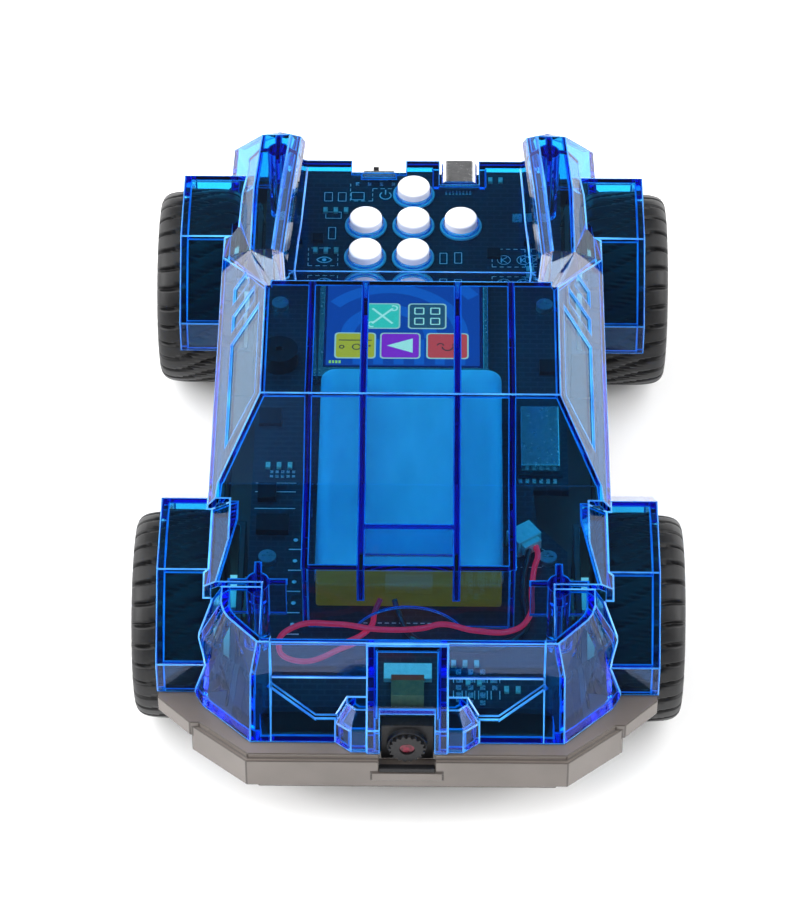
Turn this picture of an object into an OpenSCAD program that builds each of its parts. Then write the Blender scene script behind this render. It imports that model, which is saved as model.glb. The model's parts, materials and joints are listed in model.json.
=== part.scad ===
// Four-wheel robot car with a transparent pickup-truck shell over a translucent chassis tub.
// Millimetres. The car's front is -Y, its left side is +X, up is +Z and the ground is Z = 0.

/* [Body] */
// Wall thickness of the transparent shell
wall = 1.6; // [1.2:0.1:2.0]
// Half the width of the body at its belt line
belt_x = 42.4; // [42:0.1:43]
// Height of the parting line between shell and chassis
part_z = 25; // [24.5:0.1:25.5]
// Height of the roof
roof_z = 61.4; // [60:0.1:64]
// Half the width of the roof
roof_x = 31.8; // [31:0.1:32.5]
// Height of the hood at the windshield
hood_z = 50.5; // [50:0.1:51]
// Height of the two rear fins
fin_z = 49.5; // [49:0.1:50]
// Height of the bed floor
bed_z = 31.4; // [31.2:0.1:31.6]
// Half the width over the fenders
fender_x = 52.3; // [51.5:0.1:53]
// Height of the fender tops
fender_z = 46.8; // [46.6:0.1:47.2]

/* [Wheels] */
// Tyre diameter
tyre_d = 44; // [43:0.1:44]
// Tyre width
tyre_w = 19; // [18:0.1:19]
// Distance from the middle of the car to the middle of a tyre
track_x = 48.4; // [48.2:0.1:49]
// Distance from the origin to the front axle
front_axle = 49.2; // [49:0.1:49.5]
// Distance from the origin to the rear axle
rear_axle = 54.9; // [54.5:0.1:55]
// Diameter of the wheel bore and the motor shaft
shaft_d = 3; // [2.9:0.1:3.1]

/* [Electronics] */
// Height of the top of the circuit board
board_z = 28.8; // [28.7:0.1:28.9]
// Thickness of the circuit board
board_t = 1.6; // [1.2:0.1:1.6]
// Half the width of the circuit board
board_x = 34.4; // [34:0.1:34.8]
// Length, width and thickness of the battery
battery = [65, 40, 7.2]; // [5:0.1:70]
// Diameter of a button cap
cap_d = 7.5; // [7:0.1:7.8]
// Distance between neighbouring buttons
cap_pitch = 11; // [10.8:0.1:11.2]
// Travel of a button
cap_travel = 0.3; // [0.2:0.05:0.3]
// Travel of the power switch
knob_travel = 2; // [1.5:0.1:2]

/* [Fit] */
// Radial clearance of a turning shaft
run_gap = 0.05; // [0.03:0.01:0.08]
// Gap between pieces that only lie near each other
gap = 0.3; // [0.2:0.05:0.4]

/* [Hidden] */
$fn = 48;

cut = 0.1;                 // how far a cutting solid runs past a face
axle_z = tyre_d / 2;
arch_r = tyre_d / 2 + 1;   // radius of the wheel arches
arch_x = 37.6;             // where the wheel wells begin
lip_z = part_z + 0.3;      // lower edge of the fender lips
crease_z = 33.5;           // where a fender's slope meets its lip
belt_z = 48;
nose_y = -88;              // front edge of the shell at the parting line
grille_y = -79.4;
grille_z = 35.5;
hood_front_z = 46;
glass_y = -37.9;           // foot of the windshield
roof_front_y = -21.7;
roof_rear_y = 13.7;
cab_end_y = 12;            // where the cab's sides pass into the fins
bed_x = 30.5;              // half the width of the bed floor, which ends inside the fins
bed_front_y = 50;
tail_y = 89;
end_y = 92.2;              // how far the bumpers reach, front and rear
hood_x = 37.6;             // half the width of the hood's flat top
nose_x = 30.2;             // half the width between the headlight towers
chassis_z = 9;
floor_t = 1.8;
post_bore_r = 1.1;
front_boss = [31.2, -63];
rear_boss = [31, 72];
board_holes = [[-30.3, -40], [29.6, -39.6], [-30, 40], [30, 40]];
usb_x = 10.6;
usb_size = [8.34, 7.35, 3.2];
usb_y = tail_y - 7.9;
switch_x = -8.2;
switch_y = 85.6;
cap_y = 67.2;              // row of the centre button
cap_z = bed_z + 1.8;       // top of a cap
hole_r = cap_d / 2 + 0.3;
rib_t = 1.2;
rib_x = [21, 10];          // outer and inner battery ribs
battery_y = -53.6;
battery_top = board_z + 0.4 + battery.z;
stop_y = -58.6;            // front plate of the battery bay
camera_y = -87.6;
camera_z = 26.2;
socket_at = [25.4, -36.6];
socket_turn = 35;
motor_w = 12;
motor_h = 10;
gearbox_x = [26, 35];
motor_x = [11.5, 26];

shell_blue = [0.10, 0.42, 0.92, 0.45];
smoke = [0.48, 0.44, 0.42, 0.75];
board_black = [0.06, 0.08, 0.10];

// ---- helpers ----

function unit(v) = v / norm(v);
// The corner b of an outline, moved in by t from both of its edges
function corner(a, b, c, t) =
    let (n = unit([a.y - b.y, b.x - a.x]), m = unit([b.y - c.y, c.x - b.x])) b + t * (n + m) / (1 + n * m);
function inset(p, t) =
    let (n = len(p)) [for (k = [0:n - 1]) corner(p[(k + n - 1) % n], p[k], p[(k + 1) % n], t)];
function at_height(p, z) = [for (q = p) [q.x, q.y, z]];
function mirrored(p) = concat(p, [for (k = [len(p) - 1:-1:0]) [-p[k].x, p[k].y]]);

// Solid through rings of equally many points, each ring counter-clockwise seen from the last one
module loft(rings) {
    n = len(rings[0]);
    m = len(rings);
    sides = [for (k = [0:m - 2]) for (i = [0:n - 1])
        let (a = k * n + i, b = k * n + (i + 1) % n) each [[a, a + n, b + n], [a, b + n, b]]];
    caps = [[for (i = [0:n - 1]) i], [for (i = [n - 1:-1:0]) (m - 1) * n + i]];
    polyhedron(points = [for (r = rings) each r], faces = concat(sides, caps), convexity = 8);
}

// A side view [y, z] drawn out across the car, and a front view [x, z] drawn out along it
module across(side, half) {
    rotate([90, 0, 90])
        linear_extrude(height = 2 * half, center = true)
            polygon(side);
}

module across_from(side, x0, x1) {
    translate([x0, 0, 0])
        rotate([90, 0, 90])
            linear_extrude(height = x1 - x0)
                polygon(side);
}

module along(section, y0, y1) {
    translate([0, y1, 0])
        rotate([90, 0, 0])
            linear_extrude(height = y1 - y0)
                polygon(section);
}

module both_sides() {
    children();
    mirror([1, 0, 0])
        children();
}

module block(low, high) {
    translate(low)
        cube(high - low);
}

module rod_x(x0, x1, r) {
    translate([x0, 0, 0])
        rotate([0, 90, 0])
            cylinder(h = x1 - x0, r = r);
}

module rod_y(y0, y1, r) {
    translate([0, y1, 0])
        rotate([90, 0, 0])
            cylinder(h = y1 - y0, r = r);
}

// Round tube along a list of points
module wire(path, r) {
    n = len(path);
    rings = [for (k = [n - 1:-1:0])
        let (
            t = unit(path[min(k + 1, n - 1)] - path[max(k - 1, 0)]),
            u = unit(cross(t, [0, 0.1, 1])),
            v = cross(u, t)
        ) [for (i = [0:7]) path[k] + r * (cos(45 * i) * u + sin(45 * i) * v)]];
    loft(rings);
}

// Points on one smooth curve through p
function smooth(p, steps = 5) = [
    for (k = [0:len(p) - 2]) for (s = [0:(k == len(p) - 2 ? steps : steps - 1)])
        let (
            u = s / steps, a = p[max(k - 1, 0)], b = p[k], c = p[k + 1], d = p[min(k + 2, len(p) - 1)]
        ) 0.5 * (
            2 * b + (c - a) * u + (2 * a - 5 * b + 4 * c - d) * u * u + (3 * b - a - 3 * c + d) * u * u * u
        )
];

// ---- shell ----

function body_side(bottom) =
    let (slope = (grille_y - nose_y) / (grille_z - part_z)) [
        [nose_y - (part_z - bottom) * slope, bottom],
        [tail_y + 0.5, bottom],
        [tail_y, bed_z],
        [bed_front_y, bed_z],
        [roof_rear_y, roof_z],
        [roof_front_y, roof_z],
        [glass_y, hood_z],
        [grille_y, hood_front_z],
        [grille_y, grille_z],
    ];
function cab_section(bottom) = mirrored([
    [belt_x + 0.4, bottom], [belt_x, belt_z], [roof_x, roof_z]
]);
function hood_section(bottom) = mirrored([
    [belt_x + 0.4, bottom], [belt_x, fender_z - 0.5], [hood_x, hood_z - 1.6], [hood_x, hood_z + 3]
]);

// One headlight tower: its foot, its waist and its top, each [x, y] from the inner rear corner
function tower(t, bottom) = [
    at_height([
        [nose_x - 2, -60], [nose_x - 2, nose_y + t], [32.4 - t / 2, nose_y + t], [42.6 - t, -78.1 + t / 2],
        [44.2 - t, -75 + t / 3], [44.6 - t, -72], [44.6 - t, -60]
    ], bottom),
    at_height([
        [nose_x - 2, -60], [nose_x - 2, -80.6 + t], [32.3 - t / 2, -81.4 + t], [40.3 - t, -74.2 + t / 2],
        [41.6 - t, -72.4 + t / 3], [43.2 - t, -70], [43.2 - t, -60]
    ], 38 - t / 2),
    at_height([
        [nose_x - 2, -60], [nose_x - 2, grille_y + t], [30.8 - t / 2, grille_y + t], [37 - t, -72.6 + t / 2],
        [38 - t, -70.8 + t / 3], [38.6 - t, -68.5], [38.6 - t, -60]
    ], hood_front_z + 0.2 - t),
];

// One section of a rear fin: [top y, foot y, inner x, crease x, top z, bulge, foot x, belt x, belt z].
// A section without the last three has the cab's own foot and belt.
fins = [
    [78.5, 91.2, 27.4, 32.7, fin_z - 1, 0.5, 40.2, 40, 40],
    [76.7, 89.6, 25, 34.9, fin_z, 0.5, 42.6, 41.6, 41],
    [59, 60, 26.5, 36.2, fin_z, 0.5, 42.8, 42, 43.5],
    [36, 36, 27.9, 36.2, fin_z + 0.8, 0.5],
    [cab_end_y, cab_end_y, 26.4, roof_x, roof_z, 0],
];
function fin_ring(f, t, bottom) =
    let (
        lean = (f[1] - f[0]) / (f[4] - part_z),
        back = f[0] > fins[1][0] ? t : 0,
        inner = f[2] + t,
        r = 3.4 - t,
        side = inset(cab_section(bottom), t),
        own = len(f) > 6,
        crease = f[5] == 0 ? side[2] : [f[3] - t / 2, f[4] - t],
        section = [
            [inner, bottom], own ? [f[6] - t, bottom] : side[0], own ? [f[7] - t, f[8]] : side[1], crease,
            [inner + r, f[4] + f[5] - t], [inner + 0.26 * r, f[4] - t - 0.24 * r], [inner, f[4] - t - r]
        ]
    ) [for (q = section) [q.x, f[0] + (f[4] - q.y) * lean - back, q.y]];

function fender_side(axle, back, bottom) =
    let (s = back, low = crease_z, half = 10.4) [
        [axle - 25.2 * s, low], [axle - 25.2 * s, bottom], [axle + 25.2 * s, bottom],
        [axle + 25.2 * s, low], [axle + half * s, fender_z], [axle - half * s, fender_z]
    ];

module body_mass(t, bottom) {
    side = inset(body_side(bottom), t);
    intersection() {
        across(side, 60);
        along(inset(cab_section(bottom), t), -42, cab_end_y);
    }
    intersection() {
        across(side, bed_x);
        block([-bed_x, cab_end_y, 0], [bed_x, 96, 90]);
    }
    intersection() {
        across(side, 60);
        along(inset(hood_section(bottom), t), -64, -40);
    }
    intersection() {
        across(side, nose_x);
        block([-nose_x, nose_y - 12, 0], [nose_x, -60, 90]);
    }
    both_sides() {
        loft(tower(t, bottom));
        loft([for (f = fins) fin_ring(f, t, bottom)]);
    }
}

module fender_mass(t, bottom) {
    both_sides()
        for (axle = [-front_axle, rear_axle])
            across_from(inset(fender_side(axle, 1, bottom), t), 34, fender_x - t);
}

module camera_hood(t) {
    // sloping box in front of the grille that holds the camera, with a faceted block on each side
    along_slope = [
        [grille_y + 4, 30], [-91 + t, part_z - t], [-91 + t, 32 - t], [-87.4, 35.6 - t],
        [grille_y - 0.5, hood_front_z - 0.3 - t], [grille_y + 4, hood_front_z - 0.2 - t]
    ];
    // each ring: height, front y, outer y, x of the front corner, outer x
    cheek = [[part_z - t, -90.6, -88, 11.6, 14.8], [29.4 - t / 2, -88.8, -86.4, 11.6, 14.8],
        [32.4 - t, -85.4, -83.8, 10.6 - t / 2, 12.4]];
    across(along_slope, 8.3 - t);
    both_sides()
        loft([for (c = cheek)
            at_height([
                [5, -80], [5, c[1] + t], [c[3], c[1] + t], [c[4] - t, c[2] + t / 2], [c[4] - t, -80]
            ], c[0])]);
}

module side_window(points) {
    // shallow pocket in the sloping cab side; points are [y, distance up the side]
    both_sides()
        translate([belt_x, 0, belt_z])
            rotate([0, -atan((belt_x - roof_x) / (roof_z - belt_z)), 0])
                rotate([90, 0, 90])
                    translate([0, 0, -0.5])
                        linear_extrude(height = 2)
                            polygon(points);
}

module groove(a, b) {
    // shallow groove in the sloping front face, between two [x, distance up the face] points
    run = b - a;
    translate([0, nose_y, part_z])
        rotate([atan((grille_z - part_z) / (grille_y - nose_y)), 0, 0])
            translate([a.x, a.y, 0])
                rotate([0, 0, atan2(run.y, run.x)])
                    translate([0, -0.4, -0.4])
                        cube([norm(run) + 0.4, 0.8, 1]);
}

module battery_ribs() {
    long = [
        [stop_y - 0.8, 29], [-43.5, 29], [-43.5, 33.8], [-27.5, 33.8], [-27.5, 29], [11, 29], [11, 34],
        [roof_rear_y - 2, 38], [roof_rear_y + 16, 90], [stop_y - 0.8, 90]
    ];
    short = [[stop_y, battery_top + 0.4], [6, battery_top + 0.4], [roof_rear_y + 16, 90], [stop_y, 90]];
    both_sides() {
        across_from(long, rib_x[0], rib_x[0] + rib_t);
        across_from(short, rib_x[1] - rib_t / 2, rib_x[1] + rib_t / 2);
    }
    difference() {
        block([-rib_x[0], stop_y - rib_t, 29], [rib_x[0], stop_y, 90]);
        translate([0, 0, 22])
            rod_y(stop_y - 5, stop_y + 5, 13);
    }
    block([-rib_x[1], -49, battery_top + 3], [rib_x[1], -49 + rib_t, 90]);
}

module boss(at, top) {
    translate([at.x, at.y, board_z + 0.1]) {
        cylinder(h = top, r = 2.3);
        translate([-6, -rib_t / 2, 8])
            cube([12, rib_t, top]);
        translate([-rib_t / 2, -5, 4])
            cube([rib_t, 10, top]);
    }
}

module shell_cavity() {
    // the space inside the shell, less the ribs and posts that stand in it
    difference() {
        union() {
            body_mass(wall, part_z - 6);
            fender_mass(wall, part_z - 6);
            camera_hood(wall);
        }
        battery_ribs();
        both_sides() {
            boss(front_boss, 40);
            boss(rear_boss, 40);
        }
        for (x = [usb_x - usb_size.x / 2 - 2, usb_x + usb_size.x / 2 + 0.4])
            block([x, usb_y - 0.4, board_z + 0.1], [x + 1.6, tail_y, 60]);
        for (x = [-7.9, 6.3])
            block([x, -100, board_z + 4], [x + 1.6, grille_y, 60]);
    }
}

module upper_shell() {
    color(shell_blue)
        difference() {
            union() {
                body_mass(0, part_z);
                fender_mass(0, lip_z);
                camera_hood(0);
            }
            shell_cavity();
            both_sides()
                for (axle = [-front_axle, rear_axle])
                    translate([0, axle, axle_z])
                        rod_x(arch_x, 80, arch_r);
            both_sides()
                for (at = [front_boss, rear_boss])
                    translate([at.x, at.y, part_z])
                        cylinder(h = 15.6, r = 1);
            for (at = button_places)
                translate([at.x, at.y, bed_z - 4])
                    cylinder(h = 8, r = hole_r);
            translate([usb_x, 0, 0])
                block(
                    [-usb_size.x / 2 - 0.4, usb_y - 0.4, part_z - 1],
                    [usb_size.x / 2 + 0.4, tail_y + 5, bed_z + 1]
                );
            block([switch_x - 6.3, 84.8, part_z - 1], [switch_x + 6.3, tail_y + 5, bed_z + 1]);
            block([switch_x - 4, switch_y - 2.4, part_z - 1], [switch_x + 4, tail_y + 5, board_z + 1.95]);
            block([-5.6, -96, part_z - 2], [5.6, -85, 34.4]);
            side_window([[-29, 5.2], [3, 5.2], [8, 15], [-20, 15]]);
            side_window([[7, 5.2], [12, 5.2], [15.4, 13], [10.6, 13]]);
            side_window([[16, 5.2], [21, 5.2], [23, 9.5], [18.2, 10.8]]);
            both_sides() {
                groove([28.6, 12.2], [19, 5.4]);
                groove([19, 5.4], [14.4, 5.4]);
            }
        }
}

// ---- chassis ----

module chassis_bracket() {
    // gusset under each front fender lip, joined to the bumper
    translate([0, 0, part_z - gap - 3.9])
        linear_extrude(height = 3.9)
            polygon([
                [37, -73.4], [37, -82.4], [45.2, -82.4], [fender_x - 0.2, -75.4], [fender_x - 0.2, -73.4]
            ]);
}

module bumper(outline) {
    // band with a narrower ledge on top, hollow from below outside the tub
    difference() {
        union() {
            translate([0, 0, 16])
                linear_extrude(height = 7.4)
                    polygon(outline);
            translate([0, 0, 23.4])
                linear_extrude(height = part_z - gap - 23.4)
                    polygon(inset(outline, 0.9));
        }
        translate([0, 0, 15])
            linear_extrude(height = 6.8)
                difference() {
                    polygon(inset(outline, 1.6));
                    polygon(tub);
                }
    }
}

tub = mirrored([
    [31, -86], [36.8, -80.4], [36.8, -25.6], [41.8, -25.6], [41.8, 31], [36.8, 31], [36.8, 79], [40.8, 80.4],
    [40.8, 87], [38, 90]
]);

module lower_chassis() {
    color(smoke)
        difference() {
            union() {
                translate([0, 0, chassis_z])
                    linear_extrude(height = part_z - gap - chassis_z)
                        polygon(tub);
                bumper(mirrored([[33.2, -91.8], [44.8, -82.2], [45.2, -76.4]]));
                bumper(mirrored([[45.2, 78.6], [45.2, 85.4], [40.2, end_y]]));
                both_sides()
                    chassis_bracket();
                block([-7.4, -end_y, 18], [7.4, -88, 20.4]);
            }
            translate([0, 0, chassis_z + floor_t])
                linear_extrude(height = 40)
                    polygon(inset(tub, 1.4));
            block([-5.8, -92, 20.4], [5.8, -80, 40]);
            both_sides() {
                for (axle = [-front_axle, rear_axle]) {
                    translate([0, axle, axle_z])
                        rod_x(30, 45, shaft_d / 2 + 0.6);
                    translate([0, axle, axle_z])
                        rod_x(36.9, 60, arch_r);
                }
                for (at = [front_boss, rear_boss]) {
                    translate([at.x, at.y, chassis_z - cut])
                        cylinder(h = 1.4 + cut, r = 2.1);
                    translate([at.x, at.y, chassis_z])
                        cylinder(h = 5, r = post_bore_r);
                }
            }
            for (y = [-20:8:20])
                block([-14, y - 1, 5], [14, y + 1, chassis_z + 5]);
        }
}

module board_standoffs() {
    color("dimgray")
        for (at = concat(board_holes, [for (s = [-1, 1]) for (b = [front_boss, rear_boss]) [s * b.x, b.y]]))
            translate([at.x, at.y, chassis_z + floor_t])
                difference() {
                    cylinder(h = board_z - board_t - chassis_z - floor_t, r = 2.2);
                    translate([0, 0, -cut])
                        cylinder(h = 30, r = post_bore_r);
                }
}

// ---- board and what is on it ----

button_places = [
    [0, cap_y + cap_pitch], [-cap_pitch, cap_y], [0, cap_y], [cap_pitch, cap_y],
    [-cap_pitch, cap_y - cap_pitch], [0, cap_y - cap_pitch]
];

module main_board() {
    r = 6;
    color(board_black)
        difference() {
            translate([0, 0, board_z - board_t])
                linear_extrude(height = board_t)
                    difference() {
                        union() {
                            translate([-board_x, -70])
                                square([2 * board_x, 157.2]);
                            translate([-30, -81.4])
                                square([60, 20]);
                            for (s = [-1, 1])
                                translate([s * (board_x - r), -70])
                                    circle(r = r);
                        }
                        polygon([
                            [26.7, -18.4], [27.5, -29], [33.8, -37], [33.8, -46], [board_x + 1, -46],
                            [board_x + 1, -18.4]
                        ]);
                        translate([usb_x - 3, 85.6])
                            square([6, 5]);
                        for (s = [-1, 1])
                            translate([s * 27.4 - 1.8, 60])
                                square([3.6, 3]);
                    }
            for (at = board_holes)
                translate([at.x, at.y, 0])
                    cylinder(h = 60, r = post_bore_r);
            for (s = [-1, 1])
                for (b = [front_boss, rear_boss])
                    translate([s * b.x, b.y, 0])
                        cylinder(h = 60, r = post_bore_r);
        }
}

module screw(head_z, length, up) {
    // pan head at head_z; the shank runs up or down from it
    s = up ? 1 : -1;
    difference() {
        union() {
            translate([0, 0, up ? head_z - 1.3 : head_z])
                cylinder(h = 1.3, r = 1.9);
            translate([0, 0, up ? head_z : head_z - length])
                cylinder(h = length, r = 0.95);
        }
        for (a = [0, 90])
            rotate([0, 0, a])
                translate([-1.2, -0.25, head_z - s * 1.3 - 0.35])
                    cube([2.4, 0.5, 0.7]);
    }
}

module board_screws() {
    color("silver")
        for (at = board_holes)
            translate([at.x, at.y, 0])
                screw(board_z, 8, false);
}

module shell_screws() {
    color("silver")
        for (s = [-1, 1])
            for (b = [front_boss, rear_boss])
                translate([s * b.x, b.y, 0])
                    screw(chassis_z + 1.4, 29, true);
}

screen_at = [-1.9, 31.8];

module on_screen(x, y_front, y_rear, z0, z1) {
    // block of half width x about the middle of the display, from z0 to z1 above the board
    translate([screen_at.x, screen_at.y, board_z])
        block([-x, -y_front, z0], [x, y_rear, z1]);
}

module display_board() {
    color([0.05, 0.15, 0.3])
        on_screen(19.5, 17.6, 15.4, gap, 1);
}

module display_frame() {
    color("silver")
        difference() {
            on_screen(19, 17.2, 15, 1, 2.6);
            on_screen(17.9, 14.4, 14.4, 1.6, 3);
        }
}

module display_glass() {
    color([0.1, 0.2, 0.8])
        on_screen(17.8, 14.3, 14.3, 1.6, 2.5);
}

module display_flex() {
    side = [
        [13.9, board_z + 0.5], [13.4, board_z + 0.5], [12.8, board_z + 0.1], [11.8, board_z + 0.1],
        [11.8, board_z + 0.3], [12.7, board_z + 0.3], [13.3, board_z + 0.7], [13.9, board_z + 0.7]
    ];
    color([0.75, 0.45, 0.1])
        across([for (k = [len(side) - 1:-1:0]) side[k]], 7);
}

plunger = 1.55;

module tact_switches() {
    color([0.1, 0.1, 0.1])
        for (at = button_places)
            translate([at.x, at.y, board_z]) {
                translate([-2, -2, 0])
                    cube([4, 4, 1.3]);
                cylinder(h = plunger, r = 1.2);
            }
}

module button_cap(k) {
    // round cap whose skirt is caught below the bed floor; its top stays clear of the plunger when pressed
    at = button_places[k];
    skirt_z = bed_z - wall - 0.6;
    roof = board_z + plunger + cap_travel + 0.05;
    top_r = cap_d / 2 - 0.6;
    color("white")
        translate([at.x, at.y, 0])
            difference() {
                rotate_extrude() {
                    translate([0, skirt_z])
                        square([cap_d / 2 + 1.1, 0.5]);
                    translate([0, skirt_z])
                        square([cap_d / 2, cap_z - 0.6 - skirt_z]);
                    translate([0, bed_z])
                        square([top_r, cap_z - bed_z]);
                    translate([top_r, cap_z - 0.6])
                        circle(r = 0.6);
                }
                translate([0, 0, roof - 5])
                    cylinder(h = 5, r = 3.1);
            }
}

module button_up() { button_cap(0); }
module button_left() { button_cap(1); }
module button_centre() { button_cap(2); }
module button_right() { button_cap(3); }
module button_back() { button_cap(4); }
module button_home() { button_cap(5); }

module usb_shape(grow, y0, y1) {
    // flat-sided tube with round ends
    h = usb_size.z / 2;
    w = usb_size.x / 2 - h;
    translate([usb_x, 0, board_z + h])
        union() {
            for (s = [-1, 1])
                translate([s * w, 0, 0])
                    rod_y(y0, y1, h + grow);
            block([-w, y0, -h - grow], [w, y1, h + grow]);
        }
}

module usb_socket() {
    color("silver")
        difference() {
            usb_shape(0, usb_y, usb_y + usb_size.y);
            usb_shape(-0.3, usb_y + 1.2, usb_y + usb_size.y + 1);
        }
}

module usb_tongue() {
    color([0.1, 0.1, 0.1])
        translate([usb_x, usb_y, board_z])
            block([-3.3, 1.2, 1.25], [3.3, usb_size.y - 0.8, 1.95]);
}

module power_switch_body() {
    color("silver")
        difference() {
            translate([switch_x, switch_y, board_z])
                block([-3.6, -2, 0], [3.6, 0.8, 1.7]);
            translate([switch_x, switch_y, board_z])
                block([-2.2, -1.4, 0.4], [2.2, 2, 1.3]);
        }
}

module power_switch_knob() {
    x = switch_x + 0.3 - knob_travel / 2;
    color([0.08, 0.08, 0.08])
        union() {
            block([x - 0.8, switch_y - 1.1, board_z + 0.45], [x + 0.8, switch_y + 1, board_z + 1.25]);
            block([x - 0.65, switch_y + 0.9, board_z + 0.3], [x + 0.65, switch_y + 2.6, board_z + 1.4]);
        }
}

module wifi_module() {
    color([0.07, 0.10, 0.09])
        block([23.4, -14, board_z], [33.2, 11.6, board_z + 0.8]);
}

module wifi_shield() {
    color("silver")
        block([24.1, -13.2, board_z + 0.8], [32.5, 5.4, board_z + 3.1]);
}

module board_chips() {
    // driver chips: middle x and y, length, width, height
    chips = [
        [-29.5, -30, 7, 5, 1.5], [-31, -20, 4, 5, 1.4], [30.6, 20, 4, 4, 1], [-22, 63, 2.4, 2.4, 0.9],
        [18.6, 58, 3, 3, 0.9], [-31, 4, 5, 5, 0.9]
    ];
    color([0.07, 0.07, 0.08])
        for (c = chips)
            translate([c[0] - c[2] / 2, c[1] - c[3] / 2, board_z])
                cube([c[2], c[3], c[4]]);
}

module board_passives() {
    // rows of small resistors and capacitors: first corner x and y, and how many
    rows = [
        [9, -69.5, 3], [12, -75.4, 2], [20, -77.4, 2], [-21, 72, 3], [-23, 58, 3], [-31.6, -12, 3],
        [26, 52, 2], [17.4, 83, 2]
    ];
    color([0.7, 0.6, 0.45])
        for (row = rows)
            for (k = [0:row[2] - 1])
                translate([row[0] + k * 2.4, row[1], board_z])
                    cube([1, 1.7, 0.6]);
}

module buzzer() {
    color([0.06, 0.06, 0.06])
        translate([-29.6, 21.6, board_z])
            difference() {
                cylinder(h = 4, r = 4.2);
                translate([0, 0, 3])
                    cylinder(h = 2, r = 0.9);
            }
}

// ---- battery ----

module battery_cell() {
    r = battery.z / 2;
    color([0.8, 0.82, 0.85])
        translate([0, 0, board_z + 0.4 + r])
            union() {
                for (s = [-1, 1])
                    translate([s * (battery.y / 2 - r), 0, 0])
                        rod_y(battery_y + 5, battery_y + battery.x, r);
                block([r - battery.y / 2, battery_y + 5, -r], [battery.y / 2 - r, battery_y + battery.x, r]);
            }
}

module battery_tape() {
    color([0.85, 0.5, 0.1])
        translate([0, battery_y, 0])
            block([-battery.y / 2 + 0.4, 0, board_z + 0.6], [battery.y / 2 - 0.4, 5, battery_top - 0.3]);
}

module battery_leads(r = 0.65) {
    red = [
        [-6, battery_y - 0.3, 32], [-7, -56.6, 31.4], [-8, -61.6, 31], [-14, -66, 30.6], [-23, -69.4, 30.4],
        [-27, -66, 30.6], [-24, -61.8, 31.2], [-15, -61.4, 31.8], [-6, -63.4, 32.4], [3, -62.6, 32],
        [7, -61.4, 32], [14, -63, 31.8], [22, -62.4, 31.4], [25.4, -58, 31], [26, -50, 31], [26.6, -44, 31],
        [27.4, -40, 31.05], [27.1, -37.6, 31.05]
    ];
    black = [
        [-3, battery_y - 0.3, 32], [-2, -57, 30.6], [2, -64.6, 30.4], [10, -65.6, 30.2], [19, -65.2, 30.2],
        [24.6, -60.4, 29.8], [24.2, -52, 29.8], [24.3, -46, 30.4], [25.2, -41, 31.05], [25.6, -38.6, 31.05]
    ];
    color("red")
        wire(smooth(red, 4), r);
    color([0.1, 0.1, 0.1])
        wire(smooth(black, 4), r);
}

module at_socket() {
    translate([socket_at.x, socket_at.y, board_z])
        rotate([0, 0, socket_turn + 90])
            children();
}

module battery_socket() {
    color("ivory")
        at_socket()
            difference() {
                block([-0.6, -3, 0], [4, 3, 4.4]);
                block([-1, -2.3, 0.8], [3.2, 2.3, 3.7]);
            }
}

module battery_plug() {
    color("white")
        difference() {
            at_socket()
                block([-1.8, -2.2, 0.9], [3.1, 2.2, 3.6]);
            battery_leads(0.7);
        }
}

// ---- camera ----

module camera_body() {
    color([0.06, 0.06, 0.07])
        translate([0, camera_y, camera_z])
            difference() {
                union() {
                    block([-5.4, -1.2, -5], [5.4, 1.6, 5]);
                    block([-4.6, 1.6, -4.2], [4.6, 3.6, 4.4]);
                    rod_y(-2.4, 0, 4.1);
                }
                rod_y(-3, 1, 2.75);
            }
}

module camera_focus_ring() {
    // toothed ring that turns the lens when it is focused at the factory
    teeth = 18;
    outline = [for (k = [0:4 * teeth - 1])
        let (a = 90 * k / teeth, r = k % 4 < 2 ? 3.8 : 3.3) [r * cos(a), r * sin(a)]];
    color([0.1, 0.1, 0.1])
        translate([0, camera_y, camera_z])
            difference() {
                union() {
                    translate([0, -2.4, 0])
                        rotate([90, 0, 0])
                            linear_extrude(height = 0.8)
                                polygon(outline);
                    rod_y(-2.9, 0.4, 2.7);
                }
                rod_y(-4, 2, 1.6);
            }
}

module camera_lens() {
    color([0.35, 0.05, 0.1])
        translate([0, camera_y, camera_z])
            difference() {
                rod_y(-2.6, -0.4, 1.55);
                translate([0, -5.2, 0])
                    sphere(r = 3);
            }
}

module camera_flex() {
    side = [
        [-83.9, 30.2], [-83.6, 30.2], [-82.4, 33.6], [-79.6, 35.2], [-76.8, 33.8], [-75.4, 30.4],
        [-74.6, 29.7], [-71.2, 29.7], [-71.2, 29.4], [-74.8, 29.4], [-75.7, 30.2], [-77, 33.5],
        [-79.6, 34.9], [-82.1, 33.3], [-83.3, 29.9], [-83.9, 29.9]
    ];
    color([0.55, 0.33, 0.15])
        across([for (k = [len(side) - 1:-1:0]) side[k]], 3.4);
}

module camera_socket() {
    color("ivory")
        difference() {
            block([-5, -74.4, board_z], [5, -70, board_z + 1.2]);
            block([-3.6, -75, board_z + 0.5], [3.6, -71, board_z + 0.95]);
        }
}

// ---- drive ----

module motor_bracket() {
    // saddle below a motor that stands on the chassis floor
    difference() {
        block([20, -8, chassis_z + floor_t], [26, 8, 21]);
        block([0, -motor_w / 2 - 0.02, axle_z - motor_h / 2 - 0.02], [60, motor_w / 2 + 0.02, 60]);
    }
}

module motor_brackets() {
    color([0.85, 0.85, 0.88])
        both_sides()
            for (axle = [-front_axle, rear_axle])
                translate([0, axle, 0])
                    motor_bracket();
}

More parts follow.
